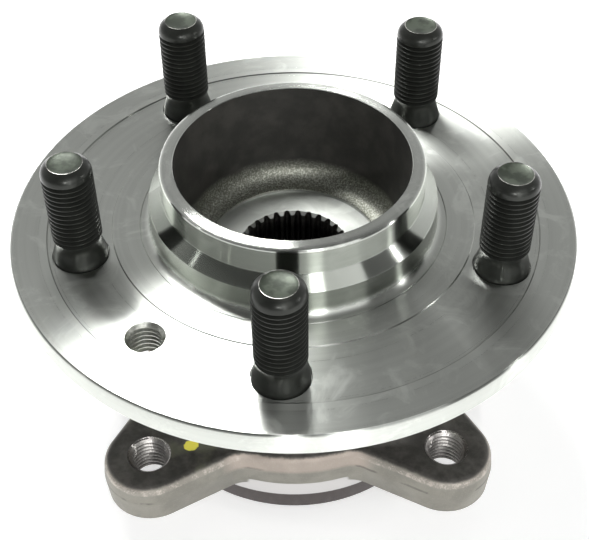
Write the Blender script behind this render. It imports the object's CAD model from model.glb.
import math

import bpy
from mathutils import Matrix, Vector


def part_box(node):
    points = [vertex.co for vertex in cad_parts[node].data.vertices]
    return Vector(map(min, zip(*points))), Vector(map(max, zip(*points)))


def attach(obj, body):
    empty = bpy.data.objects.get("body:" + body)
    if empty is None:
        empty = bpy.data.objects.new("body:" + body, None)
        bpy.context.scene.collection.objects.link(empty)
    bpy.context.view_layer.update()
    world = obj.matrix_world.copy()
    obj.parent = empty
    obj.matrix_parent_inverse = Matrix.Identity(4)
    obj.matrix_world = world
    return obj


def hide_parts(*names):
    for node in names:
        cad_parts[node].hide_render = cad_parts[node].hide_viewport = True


bl_info = {
    "name": "Wheel hub bearing",
    "version": (1, 0, 0),
    "blender": (4, 5, 0),
    "location": "View3D > Sidebar > Hub bearing",
    "description": "Dresses the packed wheel hub bearing with turned, forged, ground and threaded pieces",
    "category": "Object",
}

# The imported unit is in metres, so a length in millimetres is written as a multiple of MM.
MM = 0.001
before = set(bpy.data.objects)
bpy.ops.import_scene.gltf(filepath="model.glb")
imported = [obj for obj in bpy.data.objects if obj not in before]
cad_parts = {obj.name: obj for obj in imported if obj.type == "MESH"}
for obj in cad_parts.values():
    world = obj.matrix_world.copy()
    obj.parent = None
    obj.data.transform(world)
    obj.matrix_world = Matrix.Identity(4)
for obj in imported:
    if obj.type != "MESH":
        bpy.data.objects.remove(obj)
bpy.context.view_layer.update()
STUDS = [f"wheel_stud_{i}" for i in range(1, 6)]
BALLS = [f"{row}_ball_{i:02d}" for row in ("outboard", "inboard") for i in range(1, 14)]


def middle(node):
    """The middle of a node's box in plan, and its highest point."""
    low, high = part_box(node)
    return (low.x + high.x) / 2, (low.y + high.y) / 2, high.z


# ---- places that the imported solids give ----
STUD_PLACES = [middle(name)[:2] for name in STUDS]
FIRST_STUD = math.atan2(STUD_PLACES[0][1], STUD_PLACES[0][0])
STUD_LENGTH = 31.5 * MM              # above the wheel face
FACE = middle(STUDS[0])[2] - STUD_LENGTH
PILOT_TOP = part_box("hub")[1].z
FLANGE_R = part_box("hub")[1].x
NUT_SEAT_Z = 65.2 * MM               # the machined ring under the axle nut
RETAINER_CIRCLE = 60 * MM            # the studs and the retaining hole lie on this radius
RETAINER_TURN = math.radians(-36)    # from the first stud to the retaining hole
EAR_ANGLES = [math.radians(angle) for angle in (45, 135, 225, 315)]
EAR_CIRCLE = 60.5 * MM               # the ears' holes lie on this radius
EAR_FOOT = 12.0 * MM                 # underside of the ears, where the knuckle seats
EAR_PARTING = 19.4 * MM              # where the two halves of the forging die met
EAR_TOP = 25.2 * MM
SPIGOT_R = 46.0 * MM
SPIGOT_FOOT = 8.2 * MM               # lower end of the ground spigot
RING_BORE_R = 43.0 * MM


# ---- sizes and colours that a user may change ----
def length(name, about, default):
    """A length setting."""
    return bpy.props.FloatProperty(name=name, description=about, default=default, unit="LENGTH", precision=5)


def angle(name, about, degrees):
    """An angle setting."""
    return bpy.props.FloatProperty(
        name=name, description=about, default=math.radians(degrees), subtype="ANGLE"
    )


def level(name, about, default):
    """A strength setting."""
    return bpy.props.FloatProperty(name=name, description=about, default=default, min=0.0)


def colour(name, about, default):
    """A colour setting."""
    return bpy.props.FloatVectorProperty(
        name=name, description=about, default=default, size=3, subtype="COLOR", min=0.0, max=1.0
    )


def count(name, about, default):
    """A whole-number setting."""
    return bpy.props.IntProperty(name=name, description=about, default=default, min=3)


class HubSizes(bpy.types.PropertyGroup):
    """Sizes of the hub."""

    flange_thickness: length("Flange thickness", "Thickness of the wheel flange at its rim", 7.0 * MM)
    relief_in: length("Relief inner radius", "Inner radius of the lowered band with the studs", 50.7 * MM)
    relief_out: length("Relief outer radius", "Outer radius of the lowered band with the studs", 69.0 * MM)
    relief_depth: length("Relief depth", "How far the band is turned below the wheel face", 0.3 * MM)
    score_radius: length("Score radius", "Radius of the fine turned line inside the band", 42.9 * MM)
    wheel_pilot: length("Wheel pilot radius", "Radius of the wheel's centring diameter", 36.25 * MM)
    disc_pilot: length("Disc pilot radius", "Radius of the brake disc's centring diameter", 40.0 * MM)
    bowl_mouth: length("Bowl mouth radius", "Inner radius of the nut bowl at the pilot's top", 32.5 * MM)
    nut_seat: length("Nut seat radius", "Radius of the machined ring under the axle nut", 24.9 * MM)
    teeth: count("Spline teeth", "Number of teeth in the splined bore", 30)
    steps: count("Steps", "Flat steps in one turn of the hub", 288)


class StudSizes(bpy.types.PropertyGroup):
    """Sizes of the wheel studs and the threads."""

    thread_radius: length("Thread radius", "Outer radius of the stud's thread", 6.74 * MM)
    pitch: length("Thread pitch", "Rise of every thread in one turn", 1.5 * MM)
    tip_radius: length("Tip radius", "Radius of the stud's flat end", 4.75 * MM)
    mouth_radius: length("Mouth radius", "Radius of the counterbore round each stud", 7.85 * MM)
    retainer_radius: length("Retaining hole radius", "Core radius of the disc retaining hole", 4.25 * MM)
    ear_hole_radius: length("Ear hole radius", "Core radius of the threaded holes in the ears", 5.2 * MM)


class Colours(bpy.types.PropertyGroup):
    """Colours of the finishes."""

    turned: colour("Turned steel", "Colour of the turned faces", (0.60, 0.62, 0.58))
    forged: colour("Forged steel", "Colour of the forged skin", (0.27, 0.26, 0.225))
    scale: colour("Forging scale", "Colour of the dark scale on the ears' tops", (0.078, 0.074, 0.068))
    phosphate: colour("Phosphate", "Colour of the blackened studs", (0.030, 0.032, 0.028))
    nylon: colour("Cage nylon", "Colour of the ball cages", (0.78, 0.74, 0.62))
    rubber: colour("Seal rubber", "Colour of the seals' rubber", (0.03, 0.03, 0.033))
    paint: colour("Paint mark", "Colour of the inspector's dab of paint", (0.86, 0.78, 0.10))
    floor: colour("Floor", "Colour of the floor", (0.86, 0.86, 0.86))


class StageSettings(bpy.types.PropertyGroup):
    """Settings of the camera and the lamps."""

    distance: length("Camera distance", "From the camera to the point it looks at", 314.53 * MM)
    elevation: angle("Camera elevation", "Above the horizon", 44.2415)
    azimuth: angle("Camera azimuth", "Round the axis of rotation", -0.76)
    roll: angle("Camera roll", "About the viewing direction", -0.6914)
    lens: level("Focal length", "Of the camera, in millimetres, on a 36 mm sensor", 71.68)
    floor_glow: level("Floor glow", "How much of the floor's white is its own", 0.45)
    room_level: level("Room level", "Strength of the light from the room around", 1.0)
    lamp_level: level("Lamp level", "Strength of all the lamps together", 1.0)


# ---- selecting and shaping ----
def rest():
    """Leaves edit mode and deselects everything."""
    if bpy.context.object and bpy.context.object.mode != "OBJECT":
        bpy.ops.object.mode_set(mode="OBJECT")
    bpy.ops.object.select_all(action="DESELECT")


def take(*objs):
    """Selects only these objects, the last one active."""
    rest()
    for obj in objs:
        obj.select_set(True)
    bpy.context.view_layer.objects.active = objs[-1]


def choose(obj, kind, test):
    """Opens obj in edit mode with its vertices, edges or faces chosen by their place or normal."""
    take(obj)
    mesh = obj.data
    for items in (mesh.vertices, mesh.edges, mesh.polygons):
        items.foreach_set("select", [False] * len(items))
    for item in {"VERT": mesh.vertices, "EDGE": mesh.edges, "FACE": mesh.polygons}[kind]:
        item.select = test(item)
    bpy.context.tool_settings.mesh_select_mode = (kind == "VERT", kind == "EDGE", kind == "FACE")
    bpy.ops.object.mode_set(mode="EDIT")


def tidy_mesh(obj, gap=1e-6):
    """Merges doubles and turns every face outwards."""
    take(obj)
    bpy.ops.object.mode_set(mode="EDIT")
    bpy.ops.mesh.select_all(action="SELECT")
    bpy.ops.mesh.remove_doubles(threshold=gap)
    bpy.ops.mesh.normals_make_consistent(inside=False)
    bpy.ops.object.mode_set(mode="OBJECT")


def settle(obj):
    """Puts obj's origin at the frame's origin, unturned and unscaled, with its place in its mesh."""
    take(obj)
    bpy.ops.object.transform_apply(location=True, rotation=True, scale=True)


def trace(name, points, closed):
    """A run of edges in the XZ plane through (radius, height) points.

    A small plane is merged to one corner, which is drawn out from point to point.
    """
    rest()
    first = points[0]
    bpy.ops.mesh.primitive_plane_add(size=MM, location=(first[0], 0, first[1]))
    obj = bpy.context.object
    obj.name = obj.data.name = name
    bpy.ops.object.mode_set(mode="EDIT")
    bpy.ops.mesh.select_mode(type="VERT")
    bpy.ops.mesh.select_all(action="SELECT")
    bpy.ops.mesh.merge(type="CENTER")
    for a, b in zip(points, points[1:]):
        step = (b[0] - a[0], 0, b[1] - a[1])
        bpy.ops.mesh.extrude_region_move(TRANSFORM_OT_translate={"value": step})
    bpy.ops.object.mode_set(mode="OBJECT")
    if closed:
        uses = [0] * len(obj.data.vertices)
        for edge in obj.data.edges:
            for i in edge.vertices:
                uses[i] += 1
        choose(obj, "VERT", lambda v: uses[v.index] == 1)
        bpy.ops.mesh.edge_face_add()
        bpy.ops.object.mode_set(mode="OBJECT")
    settle(obj)
    return obj


def lathe(name, points, steps, closed=False):
    """A turned piece: the profile is traced and spun once round the Z axis."""
    obj = trace(name, points, closed)
    take(obj)
    bpy.ops.object.mode_set(mode="EDIT")
    bpy.ops.mesh.select_all(action="SELECT")
    bpy.ops.mesh.spin(steps=steps, angle=2 * math.pi, center=(0, 0, 0), axis=(0, 0, 1))
    bpy.ops.object.mode_set(mode="OBJECT")
    tidy_mesh(obj)
    return obj


def coil(name, points, pitch, turns, steps=48):
    """A V-shaped coil round the Z axis, closed at both ends, as a tool to cut a thread with."""
    obj = trace(name, points, True)
    take(obj)
    bpy.ops.object.modifier_add(type="SCREW")
    screw = obj.modifiers[-1]
    screw.screw_offset = pitch
    screw.iterations = turns
    screw.steps = screw.render_steps = steps
    screw.use_merge_vertices = False
    bpy.ops.object.modifier_apply(modifier=screw.name)
    bpy.ops.object.mode_set(mode="EDIT")
    bpy.ops.mesh.select_mode(type="EDGE")
    bpy.ops.mesh.select_all(action="SELECT")
    bpy.ops.mesh.remove_doubles(threshold=1e-7)
    bpy.ops.mesh.fill_holes(sides=8)
    bpy.ops.object.mode_set(mode="OBJECT")
    tidy_mesh(obj, 1e-7)
    return obj


def copy_of(obj, name):
    """A copy of obj with its own mesh."""
    take(obj)
    bpy.ops.object.duplicate(linked=False)
    twin = bpy.context.object
    twin.name = twin.data.name = name
    return twin


def moved(obj, x, y):
    """obj moved in plan, with its place put in its mesh."""
    take(obj)
    bpy.ops.transform.translate(value=(x, y, 0))
    settle(obj)
    return obj


def joined(objs, name):
    """All these objects as one."""
    take(*objs)
    bpy.ops.object.join()
    obj = bpy.context.object
    obj.name = obj.data.name = name
    return obj


def cut(obj, tool, operation="DIFFERENCE"):
    """Takes the tool's shape out of obj, or adds it, and deletes the tool."""
    take(obj)
    bpy.ops.object.modifier_add(type="BOOLEAN")
    knife = obj.modifiers[-1]
    knife.operation = operation
    knife.solver = "EXACT"
    knife.object = tool
    bpy.ops.object.modifier_apply(modifier=knife.name)
    bpy.data.objects.remove(tool)
    if not obj.data.polygons:
        raise RuntimeError(f"{obj.name} was lost when a tool was applied to it")


def rounded(obj, sharp_over=30.0):
    """Smooth shading, with edges over an angle left sharp."""
    take(obj)
    bpy.ops.object.shade_smooth_by_angle(angle=math.radians(sharp_over))


def coat(obj, finishes, choice=None):
    """Gives obj its finishes. choice tells from a face's middle and normal which of them it takes."""
    obj.data.materials.clear()
    for finish in finishes:
        obj.data.materials.append(finish_named(finish))
    for face in obj.data.polygons:
        face.material_index = finishes.index(choice(face.center, face.normal)) if choice else 0


def arc(centre, radius, start, end, steps):
    """Points of an arc in a profile, between two angles in degrees."""
    points = []
    for i in range(steps + 1):
        a = math.radians(start + (end - start) * i / steps)
        points.append((centre[0] + radius * math.cos(a), centre[1] + radius * math.sin(a)))
    return points


def on_circle(radius, a):
    """A place on a circle round the Z axis, the angle in radians."""
    return radius * math.cos(a), radius * math.sin(a)


def in_mm(points, base=0.0):
    """Profile points in metres from (radius, height) in millimetres, the heights above base."""
    return [(r * MM, base + z * MM) for r, z in points]


# ---- building finishes ----
class Level:
    """A number that varies over a surface. Sums and products of levels add Math nodes."""

    def __init__(self, finish, socket):
        self.finish = finish
        self.socket = socket

    def worked_out(self, operation, *others):
        """A Math node of this level and others."""
        node = self.finish.node("ShaderNodeMath", {"operation": operation}, self, *others)
        return Level(self.finish, node.outputs[0])

    def __add__(self, other):
        return self.worked_out("ADD", other)

    def __sub__(self, other):
        return self.worked_out("SUBTRACT", other)

    def __rsub__(self, other):
        node = self.finish.node("ShaderNodeMath", {"operation": "SUBTRACT"}, other, self)
        return Level(self.finish, node.outputs[0])

    def __mul__(self, other):
        return self.worked_out("MULTIPLY", other)

    def __pow__(self, other):
        return self.worked_out("POWER", other)

    __radd__ = __add__
    __rmul__ = __mul__

    def size(self):
        """This level without its sign."""
        return self.worked_out("ABSOLUTE")

    def larger(self, other):
        """The larger of two levels."""
        return self.worked_out("MAXIMUM", other)

    def step(self, first, last):
        """0 up to first, 1 from last on and a smooth rise between. first may be the larger."""
        if first > last:
            return 1.0 - self.step(last, first)
        settings = {"interpolation_type": "SMOOTHSTEP"}
        node = self.finish.node("ShaderNodeMapRange", settings, self, first, last, 0.0, 1.0)
        return Level(self.finish, node.outputs[0])


class Finish:
    """A procedural material, or the world's light, under construction."""

    def __init__(self, name, world=None):
        self.material = world or bpy.data.materials.new(name)
        self.material.use_nodes = True
        self.nodes = self.material.node_tree.nodes
        self.links = self.material.node_tree.links
        self.nodes.clear()
        self.output = self.nodes.new("ShaderNodeOutputWorld" if world else "ShaderNodeOutputMaterial")
        self.place = None

    def feed(self, socket, value):
        """Links a level or a socket to a socket, or sets a constant on it."""
        if isinstance(value, Level):
            value = value.socket
        if isinstance(value, bpy.types.NodeSocket):
            self.links.new(value, socket)
        elif socket.type == "RGBA":
            socket.default_value = (*value, 1.0)
        else:
            socket.default_value = value

    def node(self, kind, settings=None, *values, **named):
        """Adds a node: its settings first, then its sockets by order or by name."""
        node = self.nodes.new(kind)
        for key, value in (settings or {}).items():
            setattr(node, key, value)
        for socket, value in zip(node.inputs, values):
            self.feed(socket, value)
        for key, value in named.items():
            self.feed(node.inputs[key.replace("_", " ")], value)
        return node

    def level(self, node, output=0):
        """A node's output as a level."""
        return Level(self, node.outputs[output])

    def position(self):
        """The place on the piece, in metres."""
        if self.place is None:
            self.place = self.node("ShaderNodeTexCoord").outputs["Object"]
        return self.place

    def parts(self):
        """The place's three coordinates as levels."""
        node = self.node("ShaderNodeSeparateXYZ", None, self.position())
        return [self.level(node, i) for i in range(3)]

    def noise(self, scale, detail=3.0, roughness=0.55, distortion=0.0):
        """Noise over the place, its scale in features a metre."""
        node = self.node(
            "ShaderNodeTexNoise", None, Vector=self.position(), Scale=scale, Detail=detail,
            Roughness=roughness, Distortion=distortion,
        )
        return self.level(node)

    def noise_along(self, level, scale, detail=2.0):
        """Noise along one level only, such as a radius."""
        settings = {"noise_dimensions": "1D"}
        return self.level(self.node("ShaderNodeTexNoise", settings, W=level, Scale=scale, Detail=detail))

    def attribute(self, name):
        """A number that is kept on the mesh's points."""
        return self.level(self.node("ShaderNodeAttribute", {"attribute_name": name}), "Fac")

    def around(self, x, y):
        """The angle round the Z axis, in radians."""
        return self.level(self.node("ShaderNodeMath", {"operation": "ARCTAN2"}, y, x))

    def blend(self, factor, first, second):
        """A colour between two."""
        node = self.node("ShaderNodeMix", {"data_type": "RGBA"})
        for i, value in ((0, factor), (6, first), (7, second)):
            self.feed(node.inputs[i], value)
        return node.outputs[2]

    def bump(self, height, strength, distance):
        """A normal from a height level."""
        node = self.node("ShaderNodeBump", None, Strength=strength, Distance=distance, Height=height)
        return node.outputs[0]

    def shade(self, **sockets):
        """Ends the material in a Principled shader with these socket values."""
        shader = self.node("ShaderNodeBsdfPrincipled", None, **sockets)
        self.links.new(shader.outputs[0], self.output.inputs["Surface"])
        return self.material


def around_axis(finish):
    """Radius from the Z axis, height, x and y, as levels."""
    x, y, z = finish.parts()
    return (x * x + y * y) ** 0.5, z, x, y


def line_at(level, middle, width):
    """1 on a fine line where a level passes a value, 0 beside it."""
    return (level - middle).size().step(width * 0.7, width * 0.3)


def toned(tint, factor):
    """A constant colour made darker or lighter."""
    return tuple(min(1.0, c * factor) for c in tint)


FINISHES = {}


def finish_named(name):
    """A finish by name, made the first time it is asked for."""
    if name not in FINISHES:
        FINISHES[name] = MAKERS[name](bpy.context.scene.hub_colours)
    return FINISHES[name]


# ---- finishes ----
def turned_steel(colours, name="turned_steel", streak=1.0, dull=0.0):
    """Bright turned steel with concentric tool marks, scored steps and a thin uneven film of oil."""
    f = Finish(name)
    sizes = bpy.context.scene.hub_sizes
    score_tone, edge_tone, oil_tone = (0.06, 0.06, 0.055), (0.05, 0.055, 0.05), (0.12, 0.135, 0.11)
    radius, z, x, y = around_axis(f)
    along = radius + z * 1.31
    fine = f.noise_along(along, 5200.0, 3.0)
    broad = f.noise_along(along, 420.0, 2.0)
    film = f.noise(75.0, 5.0, 0.66, distortion=1.2).step(0.50, 0.66)
    turn = f.around(x, y)
    front_left = line_at(turn, math.radians(-135), 2.0)
    tint = f.blend(broad.step(0.3, 0.7), toned(colours.turned, 0.93), colours.turned)
    tint = f.blend(film * 0.6, tint, toned(colours.turned, 1.25))
    # the scored steps fade where the tool ran lightly
    faint = f.noise_along(turn, 0.9, 2.0).step(0.35, 0.62)
    flat = z.step(FACE - 0.6 * MM, FACE - 0.4 * MM) * z.step(FACE + 0.3 * MM, FACE + 0.1 * MM)
    scored = line_at(radius, sizes.score_radius + 0.05 * MM, 0.24 * MM) * (1.0 - front_left * 0.8)
    scored = scored.larger(line_at(radius, sizes.relief_out - 0.15 * MM, 0.34 * MM))
    scored = scored.larger(line_at(radius, sizes.relief_in + 0.15 * MM, 0.30 * MM))
    scored = scored * flat * (0.15 + faint * 0.85)
    tint = f.blend(scored * 0.9, tint, score_tone)
    # a dark line where the edge of the rim is broken
    edge = line_at(radius, FLANGE_R - 0.3 * MM, 0.5 * MM) * z.step(FACE - 0.6 * MM, FACE - 0.1 * MM)
    edge = edge * (1.0 - faint * 0.7).larger(front_left)
    tint = f.blend(edge * 0.85, tint, edge_tone)
    # the pilots are turned finer, under more oil
    pilot = z.step(FACE + 0.5 * MM, FACE + 3 * MM)
    oil = pilot * z.step(PILOT_TOP - 0.9 * MM, PILOT_TOP - 1.2 * MM) * (0.42 + front_left * 0.33)
    tint = f.blend(oil, tint, oil_tone)
    rough = 0.25 + dull + fine * 0.05 + broad * 0.03 + film * 0.05 + scored * 0.2 - pilot * 0.10
    return f.shade(
        Base_Color=tint, Metallic=1.0, Roughness=rough, Anisotropic=streak, Anisotropic_Rotation=0.25,
        Normal=f.bump(fine * 0.7 + broad * 0.3, 0.04, 0.02 * MM),
    )


def seat_steel(colours):
    """The machined ring under the axle nut, faced with a coarser tool."""
    return turned_steel(colours, "seat_steel", 0.5, 0.14)


def bowl_skin(colours):
    """Forged wall of the nut bowl: near black above, shot-blasted in the fillet at its foot."""
    f = Finish("bowl_skin")
    z = f.parts()[2]
    grain = f.noise(2400.0, 3.0, 0.6)
    cloud = f.noise(130.0, 4.0, 0.6)
    foot = (z + cloud * 3.0 * MM).step(FACE - 3.5 * MM, FACE - 7.5 * MM)
    wall = f.blend(cloud.step(0.35, 0.7), (0.045, 0.044, 0.040), (0.072, 0.069, 0.062))
    blasted = f.blend(grain.step(0.42, 0.70), (0.24, 0.245, 0.205), (0.72, 0.74, 0.65))
    return f.shade(
        Base_Color=f.blend(foot, wall, blasted), Metallic=0.35 + foot * 0.5, Roughness=0.42 + grain * 0.16,
        Normal=f.bump(grain, 0.45, 0.10 * MM),
    )


def ground_steel(colours):
    """Fine ground steel."""
    f = Finish("ground_steel")
    radius, z = around_axis(f)[:2]
    marks = f.noise_along(radius + z, 9000.0, 3.0)
    tint = f.blend(f.noise(90.0, 3.0).step(0.4, 0.7), (0.56, 0.55, 0.54), (0.66, 0.66, 0.65))
    rough = 0.24 + marks * 0.12
    return f.shade(Base_Color=tint, Metallic=1.0, Roughness=rough, Normal=f.bump(marks, 0.12, 0.02 * MM))


def broached_steel(colours):
    """The splined bore: oiled steel, darker with depth."""
    f = Finish("broached_steel")
    grain = f.noise(900.0, 3.0)
    depth = f.parts()[2].step(FACE - 14.2 * MM, FACE - 20 * MM)
    tint = f.blend(grain.step(0.35, 0.7), (0.16, 0.155, 0.14), (0.26, 0.255, 0.235))
    tint = f.blend(depth, tint, (0.022, 0.021, 0.02))
    return f.shade(Base_Color=tint, Metallic=0.9, Roughness=0.3 + grain * 0.12)


def hub_forging(colours):
    """The hub's forged back: shot-blasted, grey brown and pitted."""
    f = Finish("hub_forging")
    grain = f.noise(2600.0, 4.0, 0.6)
    patches = f.noise(60.0, 4.0, 0.6)
    tint = f.blend(patches.step(0.35, 0.65), toned(colours.forged, 0.7), colours.forged)
    tint = f.blend(grain.step(0.52, 0.75) * 0.5, tint, (0.30, 0.28, 0.26))
    rough = 0.50 + grain * 0.18
    return f.shade(Base_Color=tint, Metallic=0.55, Roughness=rough, Normal=f.bump(grain, 0.5, 0.12 * MM))


class RingPlaces:
    """Places and noises that the finishes of the outer ring share."""

    def __init__(self, f):
        self.radius, self.z, self.x, self.y = around_axis(f)
        self.grain = f.noise(2300.0, 4.0, 0.62)
        self.lumps = f.noise(420.0, 3.0, 0.6)
        self.cloud = f.noise(85.0, 4.0, 0.6)
        side = EAR_CIRCLE * math.sqrt(0.5)
        across, along = self.x.size() - side, self.y.size() - side
        self.from_hole = (across * across + along * along) ** 0.5


def forged_sides(f, at, colours):
    """Forged sides, grey olive, warmer and brighter on the saddles between the ears."""
    warm, grit = (0.46, 0.385, 0.335), (0.45, 0.42, 0.38)
    seam, rubbed = (0.035, 0.032, 0.03), (0.52, 0.47, 0.42)
    tint = f.blend(at.cloud.step(0.35, 0.65), toned(colours.forged, 0.78), colours.forged)
    saddle = at.radius.step(52 * MM, 48 * MM) * at.z.step(EAR_PARTING - 0.8 * MM, EAR_PARTING + 1.2 * MM)
    tint = f.blend(saddle * (0.35 + at.cloud * 0.6), tint, warm)
    tint = f.blend(at.grain.step(0.50, 0.74) * (0.25 + saddle * 0.35), tint, grit)
    parting = line_at(at.z + (at.cloud - 0.5) * 1.6 * MM, EAR_PARTING + 0.4 * MM, 0.8 * MM)
    parting = parting * at.cloud.step(0.53, 0.61)
    tint = f.blend(parting * 0.6 * (0.2 + at.lumps), tint, seam)
    # flecks rubbed bright on the ears' rounded edges
    edge = line_at(at.z + (at.cloud - 0.5) * 1.4 * MM, EAR_TOP - 1.35 * MM, 1.9 * MM)
    edge = edge * at.radius.step(46.6 * MM, 47.4 * MM)
    flecks = (at.lumps * 0.55 + at.grain * 0.45 + at.cloud * 0.25).step(0.60, 0.74)
    return f.blend(edge * (flecks * 0.75 + 0.18), tint, rubbed)


def ear_scale(f, at, colours):
    """Where the dark scale lies on the ears' tops, fading out over the edge, and its colour."""
    ragged = at.z + (at.lumps - 0.5) * 0.9 * MM + (at.grain - 0.5) * 0.5 * MM
    top = ragged.step(EAR_TOP - 0.95 * MM, EAR_TOP - 0.2 * MM)
    mottle = (at.lumps * 0.4 + at.cloud * 0.6).step(0.40, 0.66)
    tint = f.blend(mottle, toned(colours.scale, 0.8), toned(colours.scale, 1.5))
    olive = at.cloud.step(0.50, 0.62) * at.radius.step(61 * MM, 57 * MM)
    olive = olive * at.y.step(0, -10 * MM) * at.x.step(0, -10 * MM)
    return top, f.blend(olive * 0.6, tint, (0.14, 0.145, 0.10))


def ground_places(at):
    """Where the ring is ground, on the spigot and in the bore, and the dark lead below the spigot."""
    spigot = at.radius.step(SPIGOT_R + 0.5 * MM, SPIGOT_R + 0.2 * MM)
    spigot = spigot * at.z.step(EAR_FOOT + 1.8 * MM, EAR_FOOT + 1.55 * MM)
    bore = at.radius.step(RING_BORE_R + 0.3 * MM, RING_BORE_R)
    lead = spigot * at.z.step(SPIGOT_FOOT + 0.05 * MM, SPIGOT_FOOT - 0.15 * MM)
    return spigot.larger(bore), lead


def ear_threads(f, at):
    """Where the ears' threads are, and the colour of their steel, dark in the roots."""
    inside = at.from_hole.step(6.45 * MM, 6.2 * MM) * at.z.step(EAR_TOP, EAR_TOP - 0.1 * MM)
    root = at.from_hole.step(5.35 * MM, 5.85 * MM) * at.z.step(EAR_TOP - 1.3 * MM, EAR_TOP - 1.5 * MM)
    steel = f.blend(at.grain.step(0.35, 0.7), (0.34, 0.325, 0.31), (0.55, 0.53, 0.51))
    return inside, f.blend(root, steel, (0.05, 0.047, 0.043))


def paint_dab(at):
    """Where the inspector's dab of paint is, a ragged oval on one ear's top."""
    across, along = (at.x + 30.9 * MM) * 0.92, (at.y + 40.1 * MM) * 1.1
    spot = (across * across + along * along) ** 0.5 + (at.lumps - 0.5) * 1.6 * MM
    return spot.step(2.1 * MM, 1.85 * MM) * at.z.step(EAR_TOP - 1.5 * MM, EAR_TOP - 1.2 * MM)


def ring_forging(colours):
    """The outer ring: scale on the ears, blasted sides, ground spigot, cut threads, a dab of paint."""
    f = Finish("ring_forging")
    at = RingPlaces(f)
    top, scale = ear_scale(f, at, colours)
    ground, lead = ground_places(at)
    threads, steel = ear_threads(f, at)
    paint = paint_dab(at)
    tint = f.blend(top, forged_sides(f, at, colours), scale)
    tint = f.blend(ground, tint, (0.50, 0.49, 0.485))
    tint = f.blend(lead, tint, (0.055, 0.045, 0.043))
    tint = f.blend(threads, tint, steel)
    tint = f.blend(paint, tint, colours.paint)
    bare = ground.larger(threads)
    rough = 0.46 + at.grain * 0.18 - top * 0.06 - bare * 0.22 + lead * 0.12
    metal = (0.55 + bare * 0.45 - lead * 0.3) * (1.0 - paint)
    height = (at.grain * 0.5 + at.lumps * 0.8) * (1.0 - bare.larger(paint) * 0.9)
    return f.shade(Base_Color=tint, Metallic=metal, Roughness=rough, Normal=f.bump(height, 0.55, 0.25 * MM))


def black_phosphate(colours):
    """Blackened oily steel, greenish and bare in the dish of the tip, rubbed on rim and crests."""
    f = Finish("black_phosphate")
    rubbed_tone, worn_tone = (0.30, 0.30, 0.27), (0.52, 0.52, 0.48)
    rubbed, dish = f.attribute("rubbed"), f.attribute("bare")
    grain = f.noise(1900.0, 3.0)
    cloud = f.noise(230.0, 3.0)
    wear = (rubbed * (0.10 + (grain * 0.3 + cloud * 0.7) * 1.7)).step(0.72, 1.12)
    tint = f.blend(cloud.step(0.35, 0.65), toned(colours.phosphate, 0.75), colours.phosphate)
    tint = f.blend(rubbed * 0.05, tint, rubbed_tone)
    bare = f.blend(cloud.step(0.4, 0.6), (0.038, 0.046, 0.034), (0.082, 0.097, 0.074))
    tint = f.blend(dish, tint, bare)
    tint = f.blend(wear, tint, worn_tone)
    height = (grain * 0.4 + cloud * 0.6) * (1.0 + dish * 4.0)
    return f.shade(
        Base_Color=tint, Metallic=0.5 - dish * 0.1, Roughness=0.24 + grain * 0.12 + dish * 0.08,
        Specular_IOR_Level=0.35, Normal=f.bump(height, 0.2, 0.06 * MM),
    )


def cut_thread(colours):
    """Bright cut steel inside the threaded hole of the flange."""
    f = Finish("cut_thread")
    grain = f.noise(1500.0, 3.0)
    tint = f.blend(grain.step(0.35, 0.7), (0.40, 0.41, 0.37), (0.62, 0.63, 0.58))
    rough = 0.28 + grain * 0.12
    return f.shade(Base_Color=tint, Metallic=1.0, Roughness=rough, Normal=f.bump(grain, 0.15, 0.02 * MM))


def cage_nylon(colours):
    """Moulded nylon of the ball cages, off-white with a faint flow pattern."""
    f = Finish("cage_nylon")
    flow = f.noise(160.0, 3.0, 0.5, distortion=1.2)
    grain = f.noise(3000.0, 2.0)
    tint = f.blend(flow.step(0.3, 0.7), toned(colours.nylon, 0.86), colours.nylon)
    return f.shade(
        Base_Color=tint, Metallic=0.0, Roughness=0.36 + flow * 0.1, Subsurface_Weight=0.05,
        Normal=f.bump(grain, 0.15, 0.04 * MM),
    )


def ball_steel(colours):
    """Polished bearing balls with a thin coat of grease."""
    f = Finish("ball_steel")
    film = f.noise(300.0, 3.0)
    tint = f.blend(film.step(0.4, 0.65), (0.72, 0.72, 0.73), (0.64, 0.62, 0.57))
    return f.shade(Base_Color=tint, Metallic=1.0, Roughness=0.07 + film * 0.08)


def seal_steel(colours):
    """Pressed and plated steel of the seal cases and the slinger."""
    f = Finish("seal_steel")
    drawn = f.noise_along(f.parts()[2], 6000.0, 2.0)
    tint = f.blend(f.noise(150.0, 4.0).step(0.4, 0.66), (0.42, 0.42, 0.40), (0.55, 0.55, 0.53))
    rough = 0.32 + drawn * 0.1
    return f.shade(Base_Color=tint, Metallic=1.0, Roughness=rough, Normal=f.bump(drawn, 0.1, 0.02 * MM))


def seal_rubber(colours):
    """Matt moulded rubber of the seal lips."""
    f = Finish("seal_rubber")
    grain = f.noise(2500.0, 3.0)
    tint = f.blend(f.noise(120.0, 4.0).step(0.5, 0.8), colours.rubber, (0.065, 0.063, 0.06))
    rough = 0.62 + grain * 0.15
    return f.shade(Base_Color=tint, Metallic=0.0, Roughness=rough, Normal=f.bump(grain, 0.25, 0.05 * MM))


def encoder_rubber(colours):
    """Magnetised rubber of the speed ring: dark brown grey and smooth."""
    f = Finish("encoder_rubber")
    grain = f.noise(1800.0, 3.0)
    tint = f.blend(grain.step(0.4, 0.7), (0.045, 0.04, 0.038), (0.075, 0.068, 0.064))
    rough = 0.45 + grain * 0.12
    return f.shade(Base_Color=tint, Metallic=0.1, Roughness=rough, Normal=f.bump(grain, 0.12, 0.03 * MM))


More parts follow.
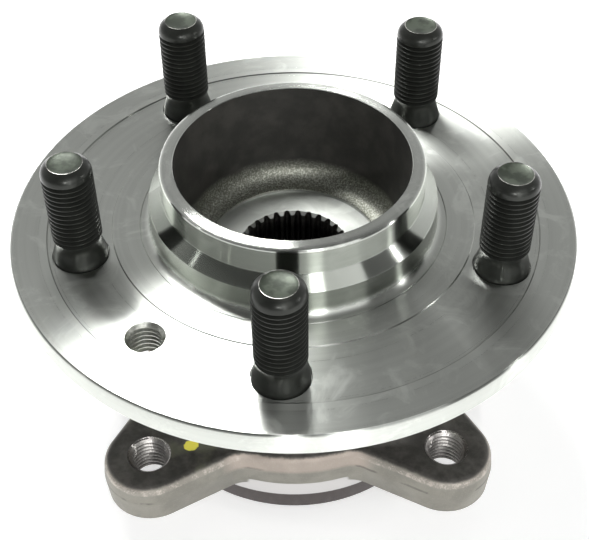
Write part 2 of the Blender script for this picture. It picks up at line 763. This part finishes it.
MAKERS = {
    maker.__name__: maker
    for maker in (
        turned_steel, seat_steel, bowl_skin, ground_steel, broached_steel, hub_forging, ring_forging,
        black_phosphate, cut_thread, cage_nylon, ball_steel, seal_steel, seal_rubber, encoder_rubber,
    )
}


# ---- threads ----
def thread_tool(core, pitch, bottom, turns, inwards=True):
    """A thread-cutting coil. inwards is for a hole, whose thread opens towards the axis."""
    deep, wide, narrow = 0.54 * pitch, 0.47 * pitch, 0.08 * pitch
    if inwards:
        open_r, root_r = core - 0.1 * MM, core + deep
        shape = [(open_r, -wide), (root_r, -narrow), (root_r, narrow), (open_r, wide)]
    else:
        open_r, root_r = core + 0.12 * MM, core - deep * 1.1
        shape = [(root_r, -narrow), (open_r, -wide), (open_r, wide), (root_r, narrow)]
    return coil("thread_tool", [(r, bottom + z) for r, z in shape], pitch, turns)


# ---- the hub ----
def hub_profile(s):
    """The hub's closed profile, (radius, height) in metres, from the bowl's mouth outwards and round."""
    relief, out, depth = s.relief_in / MM, s.relief_out / MM, s.relief_depth / MM
    rim, thick = FLANGE_R / MM, s.flange_thickness / MM
    wheel, disc, mouth = s.wheel_pilot / MM, s.disc_pilot / MM, s.bowl_mouth / MM
    score, seat, seat_z = s.score_radius / MM, s.nut_seat / MM, NUT_SEAT_Z / MM
    # pilots, with the step between them and the fillet at the foot
    points = [(mouth + 0.15, 19.7), (wheel - 1.5, 19.7), (wheel - 1.0, 19.62), (wheel - 0.45, 19.4)]
    points += [(wheel - 0.1, 19.05), (wheel, 18.7), (wheel, 11.55), (wheel + 0.2, 11.15)]
    foot = 2.4
    points += [(disc - 0.25, 8.52), (disc, 8.1)] + arc((disc + foot, foot), foot, 180, 270, 8)
    # wheel face, with the scored line and the lowered band
    points += [(score, 0), (score + 0.12, -0.12), (score + 0.3, 0)]
    points += [(relief, 0), (relief + depth, -depth), (relief + depth + 0.25, -depth)]
    points += [(out - depth - 0.15, -depth), (out - depth, -depth), (out, 0), (out + 0.1, 0)]
    points += [(rim - 0.6, 0), (rim - 0.12, -0.42), (rim, -0.65), (rim, 0.6 - thick), (rim - 0.6, -thick)]
    # back of the flange, down to the neck
    neck, fillet, back = 31.5, 2.2, -14.0
    points += [(52, -thick), (46, back), (neck + fillet, back)]
    points = in_mm(points + arc((neck + fillet, back - fillet), fillet, 90, 180, 4), FACE)
    # groove of the outboard row of balls, then the spindle and its rolled head
    row, row_z, groove = 32.0, 48.2, 6.45
    shoulder, land = row - groove / 2, row - groove
    spindle, head, bore, chamfer = 21.0, 26.6, 15.25, 1.85
    inner = [(neck, 56.9), (neck - 0.6, 56.5), (shoulder, 56.5)] + arc((row, row_z), groove, 120, 180, 6)
    inner += [(land, 30.4), (land - 0.5, 29.9), (spindle, 29.9), (spindle, 4), (head, 4), (head, 2.8)]
    inner += [(head - 1.5, 0.4), (head - 2, 0), (bore + chamfer, 0), (bore, chamfer)]
    # bore, nut seat and bowl
    inner += [(bore, seat_z - 1), (bore + 0.85, seat_z), (seat - 0.1, seat_z), (seat, seat_z + 0.1)]
    inner += [(seat, seat_z + 0.8), (seat + 0.15, seat_z + 1), (seat + 0.4, seat_z + 1)]
    inner += arc((seat + 0.2, seat_z + 7), 6.0, -86, 0, 12)[1:] + [(mouth - 0.02, 98.05)]
    return points + in_mm(inner)


def spline_tool(teeth):
    """A star-shaped broach: a prism whose walls are pushed outwards where the spaces between the teeth go."""
    per_tooth, core = 8, 15.0 * MM
    flanks = ((1, 16.35 * MM), (3, 16.1 * MM), (5, 15.4 * MM))    # half steps from a space's middle, radius
    rest()
    bpy.ops.mesh.primitive_cylinder_add(
        vertices=teeth * per_tooth, radius=core, depth=80 * MM, location=(0, 0, 33 * MM), end_fill_type="NGON"
    )
    broach = bpy.context.object
    settle(broach)
    pitch = 2 * math.pi / teeth
    bpy.ops.transform.rotate(value=pitch / per_tooth / 2, orient_axis="Z", center_override=(0, 0, 0))
    settle(broach)

    def half_steps(v):
        """How many half steps a corner stands from the middle of its space."""
        turns = math.atan2(v.co.y, v.co.x) / pitch
        return round(abs((turns + 0.5) % 1.0 - 0.5) * 2 * per_tooth)

    for steps, radius in flanks:
        choose(broach, "VERT", lambda v: half_steps(v) == steps)
        scale = radius / core
        bpy.ops.transform.resize(value=(scale, scale, 1), center_override=(0, 0, 0))
    rest()
    return broach


def stud_hole_tool(mouth):
    """The counterbores and holes of the five studs, as one cutting tool."""
    mouth, shank, foot = mouth / MM, 7.47, -1.6
    shape = [(0, -20), (shank, -20), (shank, foot), (mouth - 0.15, foot), (mouth, foot + 0.15)]
    shape += [(mouth, -0.15), (mouth + 1.3, 1.15), (0, 1.15)]
    first = lathe("stud_hole", in_mm(shape, FACE), 64)
    tools = [moved(copy_of(first, "stud_hole_copy"), x, y) for x, y in STUD_PLACES]
    bpy.data.objects.remove(first)
    return joined(tools, "stud_hole_tool")


def boss_tool(retainer):
    """The bosses on the flange's back, one at each stud and a smaller one at the retaining hole."""
    boss_r, retainer_boss_r, foot = 12.5, 8.5, FACE - 10.4 * MM
    first_x, first_y = STUD_PLACES[0]
    rest()
    bpy.ops.mesh.primitive_cylinder_add(
        vertices=64, radius=boss_r * MM, depth=6 * MM, location=(first_x, first_y, FACE - 7.5 * MM)
    )
    first = bpy.context.object
    settle(first)
    choose(first, "FACE", lambda face: face.center.z < foot)
    bpy.ops.mesh.bevel(offset=0.5 * MM, segments=2, affect="EDGES")
    others = [moved(copy_of(first, "stud_boss"), x - first_x, y - first_y) for x, y in STUD_PLACES[1:]]
    small = moved(copy_of(first, "retaining_boss"), -first_x, -first_y)
    scale = retainer_boss_r / boss_r
    bpy.ops.transform.resize(value=(scale, scale, 1), center_override=(0, 0, 0))
    settle(small)
    return joined([first, *others, moved(small, *retainer)], "boss_tool")


def retaining_hole_tool(core):
    """The drilled hole for the disc's retaining screw, countersunk at both ends."""
    low, high = FACE - 11.5 * MM, FACE + 0.95 * MM
    shape = [(0, low), (core + 1.4 * MM, low), (core, FACE - 10.1 * MM), (core, FACE - 1.35 * MM)]
    shape += [(core + 1.05 * MM, FACE - 0.3 * MM), (core + 2.3 * MM, high), (0, high)]
    return lathe("retaining_hole_tool", shape, 64)


def make_hub(settings, studs):
    """The hub: spun from its profile, with the spline, the stud holes and the threaded retaining hole cut."""
    hub = lathe("wheel_hub", hub_profile(settings), settings.steps, True)
    retainer = on_circle(RETAINER_CIRCLE, FIRST_STUD + RETAINER_TURN)
    cut(hub, boss_tool(retainer), "UNION")
    cut(hub, spline_tool(settings.teeth))
    cut(hub, stud_hole_tool(studs.mouth_radius))
    cut(hub, moved(retaining_hole_tool(studs.retainer_radius), *retainer))
    cut(hub, moved(thread_tool(studs.retainer_radius, studs.pitch, FACE - 9.9 * MM, 6), *retainer))

    def choice(at, normal):
        """Which finish a face of the hub takes."""
        radius, height = math.hypot(at.x, at.y), at.z - FACE
        from_hole = math.hypot(at.x - retainer[0], at.y - retainer[1])
        if from_hole < studs.retainer_radius + 1.25 * MM and height < -0.35 * MM:
            return "cut_thread"
        if 24.95 * MM < radius < 32.6 * MM and height > -12.5 * MM and at.z < PILOT_TOP - 0.3 * MM:
            return "bowl_skin"
        if radius > 33.8 * MM and height < -settings.flange_thickness - 0.2 * MM:
            return "hub_forging"
        if radius < 17.5 * MM and height < -13.4 * MM and abs(normal.z) < 0.3:
            return "broached_steel"
        if radius < 33.7 * MM and height < -14.4 * MM:
            return "ground_steel"
        if radius < 25.35 * MM and height < -12.2 * MM:
            return "seat_steel"
        return "turned_steel"

    finishes = ["turned_steel", "bowl_skin", "hub_forging", "cut_thread"]
    coat(hub, finishes + ["ground_steel", "broached_steel", "seat_steel"], choice)
    rounded(hub)
    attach(hub, "hub_unit")
    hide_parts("hub")


# ---- the studs ----
def stud_profile(s):
    """A stud's profile from the middle of its tip down to the middle of its head."""
    top, tip, thread = STUD_LENGTH / MM, s.tip_radius / MM, s.thread_radius / MM
    neck, shank, head = 6.36, 7.46, 10.5
    # dished tip and its rounded edge
    points = [(0, top - 0.55), (1.5, top - 0.52), (2.9, top - 0.4), (3.8, top - 0.24)]
    points += [(tip - 0.36, top - 0.08), (tip - 0.22, top), (tip - 0.1, top - 0.02), (tip, top - 0.14)]
    points += [(tip + 0.5, top - 0.5)]
    points += [(5.9, top - 1.1), (6.35, top - 1.7), (6.6, top - 2.4), (thread, top - 3.3)]
    # thread, neck and flare
    points += [(thread, 7.3), (neck + 0.14, 6.6), (neck, 5.9), (neck, 4.9), (neck + 0.12, 4.1), (6.8, 3.0)]
    points += [(7.15, 1.9), (7.4, 1.0), (shank, 0.3)]
    points += [(shank, -10.5), (head, -10.5), (head, -13.2), (head - 0.8, -14), (0, -14)]
    return in_mm(points, FACE)


def make_studs(s):
    """Five wheel studs with cut threads, modelled once and copied."""
    first = lathe("stud_blank", stud_profile(s), 64)
    cut(first, thread_tool(s.thread_radius, s.pitch, FACE + 6.9 * MM, 14, False))
    tidy_mesh(first)
    rubbed = first.data.attributes.new("rubbed", "FLOAT", "POINT")
    bare = first.data.attributes.new("bare", "FLOAT", "POINT")
    thread_foot, thread_top, tip = FACE + 7 * MM, FACE + 28.1 * MM, FACE + STUD_LENGTH
    for i, v in enumerate(first.data.vertices):
        out, height = math.hypot(v.co.x, v.co.y), v.co.z
        if height > tip - 0.05 * MM:
            rubbed.data[i].value = 1.0
        elif thread_foot < height < thread_top and out > s.thread_radius - 0.2 * MM:
            rubbed.data[i].value = 0.3
        if height > tip - 0.6 * MM and out < s.tip_radius - 0.3 * MM:
            bare.data[i].value = 1.0
    rounded(first, 35.0)
    coat(first, ["black_phosphate"])
    for name, (x, y) in zip(STUDS, STUD_PLACES):
        stud = moved(copy_of(first, name.replace("wheel_stud", "threaded_stud")), x, y)
        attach(stud, "hub_unit")
        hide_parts(name)
    bpy.data.objects.remove(first)


# ---- the outer ring ----
def make_outer_ring(s):
    """The outer ring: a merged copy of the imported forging, with the ears' threads cut."""
    ring = copy_of(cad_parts["outer_ring"], "outer_ring_forging")
    ring.parent = None
    ring.matrix_world = Matrix.Identity(4)
    tidy_mesh(ring)
    for a in EAR_ANGLES:
        groove = thread_tool(s.ear_hole_radius, s.pitch, EAR_FOOT - 2 * s.pitch, 13)
        cut(ring, moved(groove, *on_circle(EAR_CIRCLE, a)))
    coat(ring, ["ring_forging"])
    rounded(ring)
    bpy.ops.object.modifier_add(type="WEIGHTED_NORMAL")
    ring.modifiers[-1].keep_sharp = True
    bpy.ops.object.modifier_apply(modifier=ring.modifiers[-1].name)
    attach(ring, "outer_ring_unit")
    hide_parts("outer_ring")


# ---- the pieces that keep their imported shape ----
# each finish, and the nodes that take it
CARRIED = {
    "ground_steel": ["inner_ring"],
    "cage_nylon": ["outboard_cage", "inboard_cage"],
    "seal_steel": ["outboard_seal_case", "inboard_seal_case", "seal_slinger"],
    "seal_rubber": ["outboard_seal_lip", "inboard_seal_lip"],
    "encoder_rubber": ["encoder_ring"],
    "ball_steel": BALLS,
}


def finish_bearing():
    """Gives the balls, cages, seals and the inner ring their finishes."""
    for finish, names in CARRIED.items():
        for name in names:
            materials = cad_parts[name].data.materials
            materials.clear()
            materials.append(finish_named(finish))


# ---- stage ----
AIM = Vector((-0.11077 * MM, -23.0137 * MM, FACE))     # the point that the camera looks at
LAMP_AIM = (0, 0, 80 * MM)
LAMPS = (
    # name, place in metres, size in metres, brightness, point that it faces
    ("ceiling_panel", (-0.205, 0.40, 0.9), (0.39, 0.30), 26.0, (-0.205, 0.40, 0)),
    ("window_panel", (0.52, -0.90, 0.68), (0.87, 0.87), 1.4, LAMP_AIM),
    ("window_strip", (0.311, -1.084, 0.49), (0.19, 0.87), 6.0, LAMP_AIM),
    ("front_bulb", (-0.05, -1.1, 0.62), (0.05, 0.05), 450.0, LAMP_AIM),
    ("left_bulb", (-1.1, -0.25, 0.5), (0.05, 0.05), 20.0, LAMP_AIM),
    ("right_bulb", (1.1, -0.2, 0.5), (0.05, 0.05), 150.0, LAMP_AIM),
)
BLACK, WHITE = (0, 0, 0), (1, 1, 1)


def make_lamp(name, place, size, brightness, aim):
    """A rectangular lamp aimed at a point. Its power follows from its size and its brightness."""
    data = bpy.data.lights.new(name, "AREA")
    data.shape = "RECTANGLE"
    data.size, data.size_y = size
    data.energy = brightness * size[0] * size[1] * math.pi
    lamp = bpy.data.objects.new(name, data)
    bpy.context.scene.collection.objects.link(lamp)
    lamp.location = place
    lamp.rotation_euler = (Vector(aim) - Vector(place)).to_track_quat("-Z", "Y").to_euler()


def make_camera(stage):
    """The camera."""
    data = bpy.data.cameras.new("camera")
    camera = bpy.data.objects.new("camera", data)
    bpy.context.scene.collection.objects.link(camera)
    data.lens, data.sensor_width = stage.lens, 36.0
    data.clip_start, data.clip_end = 0.01, 20.0
    e, a = stage.elevation, stage.azimuth
    back = Vector((math.sin(a) * math.cos(e), -math.cos(a) * math.cos(e), math.sin(e)))
    right = Vector((0, 0, 1)).cross(back).normalized()
    up = back.cross(right)
    rolled_right = right * math.cos(stage.roll) + up * math.sin(stage.roll)
    rolled_up = up * math.cos(stage.roll) - right * math.sin(stage.roll)
    turn = Matrix((rolled_right, rolled_up, back)).transposed().to_4x4()
    camera.matrix_world = Matrix.Translation(AIM + back * stage.distance) @ turn
    bpy.context.scene.camera = camera


def seen_plain(f):
    """1 for camera and transmission rays, which see the plain background, and 0 for the others."""
    path = f.node("ShaderNodeLightPath")
    return f.level(path, "Is Camera Ray").larger(f.level(path, "Is Transmission Ray"))


def make_floor(stage, colours):
    """A pale paper floor that keeps the object's shadow."""
    rest()
    bpy.ops.mesh.primitive_plane_add(size=8.0, location=(0, 0, -0.2 * MM))
    floor = bpy.context.object
    floor.name = "floor"
    settle(floor)
    f = Finish("floor_paper")
    # the lamps fall off with distance, so the far floor's white is more its own
    own = stage.floor_glow + around_axis(f)[0].step(0.5, 1.8) * (1.0 - stage.floor_glow)
    glossy = f.level(f.node("ShaderNodeLightPath"), "Is Glossy Ray")
    glow = seen_plain(f) * own + glossy * 0.9
    f.shade(
        Base_Color=colours.floor, Roughness=0.7, Emission_Color=f.blend(glow, BLACK, WHITE),
        Emission_Strength=1.0,
    )
    floor.data.materials.append(f.material)


def make_world(stage):
    """White for the camera; as a light, a pale room, brighter behind the object and near the horizon."""
    world = bpy.data.worlds.new("studio")
    bpy.context.scene.world = world
    f = Finish("studio", world)
    direction = f.node("ShaderNodeTexCoord").outputs["Generated"]
    node = f.node("ShaderNodeSeparateXYZ", None, direction)
    y, z = f.level(node, 1), f.level(node, 2)
    ceiling = z.step(0.0, 0.30) * 0.3 + z.step(0.30, 0.55) * 0.28 + z.step(0.55, 1.0) * 0.18
    room = y.step(-0.35, 0.35) * 0.7 + 0.3
    light = f.blend((1.0 - ceiling) * room, BLACK, WHITE)
    lit = f.node("ShaderNodeBackground", None, light, stage.room_level).outputs[0]
    plain = f.node("ShaderNodeBackground", None, WHITE, 1.0).outputs[0]
    both = f.node("ShaderNodeMixShader", None, seen_plain(f), lit, plain)
    f.links.new(both.outputs[0], f.output.inputs["Surface"])


def make_stage(stage, colours):
    """The camera, the floor, the world and the lamps."""
    make_camera(stage)
    make_floor(stage, colours)
    make_world(stage)
    for name, place, size, brightness, aim in LAMPS:
        make_lamp(name, place, size, brightness * stage.lamp_level, aim)
    bpy.context.scene.view_settings.view_transform = "Standard"


# ---- operators ----
class Piece:
    """What every operator here shares."""

    bl_options = {"REGISTER", "UNDO"}


class HUBBEARING_OT_stage(Piece, bpy.types.Operator):
    """Adds the camera, the floor and the lamps"""

    bl_idname = "hubbearing.stage"
    bl_label = "Stage"

    def execute(self, context):
        make_stage(context.scene.hub_stage, context.scene.hub_colours)
        return {"FINISHED"}


class HUBBEARING_OT_hub(Piece, bpy.types.Operator):
    """Models the turned hub with its flange, pilots and splined bore"""

    bl_idname = "hubbearing.hub"
    bl_label = "Hub"

    def execute(self, context):
        make_hub(context.scene.hub_sizes, context.scene.hub_studs)
        return {"FINISHED"}


class HUBBEARING_OT_studs(Piece, bpy.types.Operator):
    """Models the threaded wheel studs"""

    bl_idname = "hubbearing.studs"
    bl_label = "Wheel studs"

    def execute(self, context):
        make_studs(context.scene.hub_studs)
        return {"FINISHED"}


class HUBBEARING_OT_outer_ring(Piece, bpy.types.Operator):
    """Models the eared outer ring with its threads"""

    bl_idname = "hubbearing.outer_ring"
    bl_label = "Outer ring"

    def execute(self, context):
        make_outer_ring(context.scene.hub_studs)
        return {"FINISHED"}


class HUBBEARING_OT_bearing(Piece, bpy.types.Operator):
    """Finishes the rings, balls, cages and seals that are carried over as they are"""

    bl_idname = "hubbearing.bearing"
    bl_label = "Balls, cages and seals"

    def execute(self, context):
        finish_bearing()
        return {"FINISHED"}


class HUBBEARING_PT_pieces(bpy.types.Panel):
    """Lists the operators and the settings"""

    bl_idname = "HUBBEARING_PT_pieces"
    bl_label = "Wheel hub bearing"
    bl_space_type = "VIEW_3D"
    bl_region_type = "UI"
    bl_category = "Hub bearing"

    def draw(self, context):
        for operator in OPERATORS:
            self.layout.operator(operator.bl_idname)
        for name in GROUPS:
            group = getattr(context.scene, name)
            box = self.layout.box()
            for key in group.__annotations__:
                box.prop(group, key)


OPERATORS = (
    HUBBEARING_OT_stage,
    HUBBEARING_OT_hub,
    HUBBEARING_OT_studs,
    HUBBEARING_OT_outer_ring,
    HUBBEARING_OT_bearing,
)
GROUPS = {"hub_sizes": HubSizes, "hub_studs": StudSizes, "hub_colours": Colours, "hub_stage": StageSettings}


def register():
    """Registers the settings, the operators and the panel."""
    for name, group in GROUPS.items():
        bpy.utils.register_class(group)
        setattr(bpy.types.Scene, name, bpy.props.PointerProperty(type=group))
    for cls in (*OPERATORS, HUBBEARING_PT_pieces):
        bpy.utils.register_class(cls)


def unregister():
    """Takes them off again."""
    for cls in (HUBBEARING_PT_pieces, *reversed(OPERATORS)):
        bpy.utils.unregister_class(cls)
    for name, group in GROUPS.items():
        delattr(bpy.types.Scene, name)
        bpy.utils.unregister_class(group)


def main():
    """Registers everything, makes the pieces in order and writes both boxes."""
    register()
    bpy.ops.hubbearing.stage()
    bpy.ops.hubbearing.hub()
    bpy.ops.hubbearing.studs()
    bpy.ops.hubbearing.outer_ring()
    bpy.ops.hubbearing.bearing()
    rest()


if __name__ == "__main__":
    main()
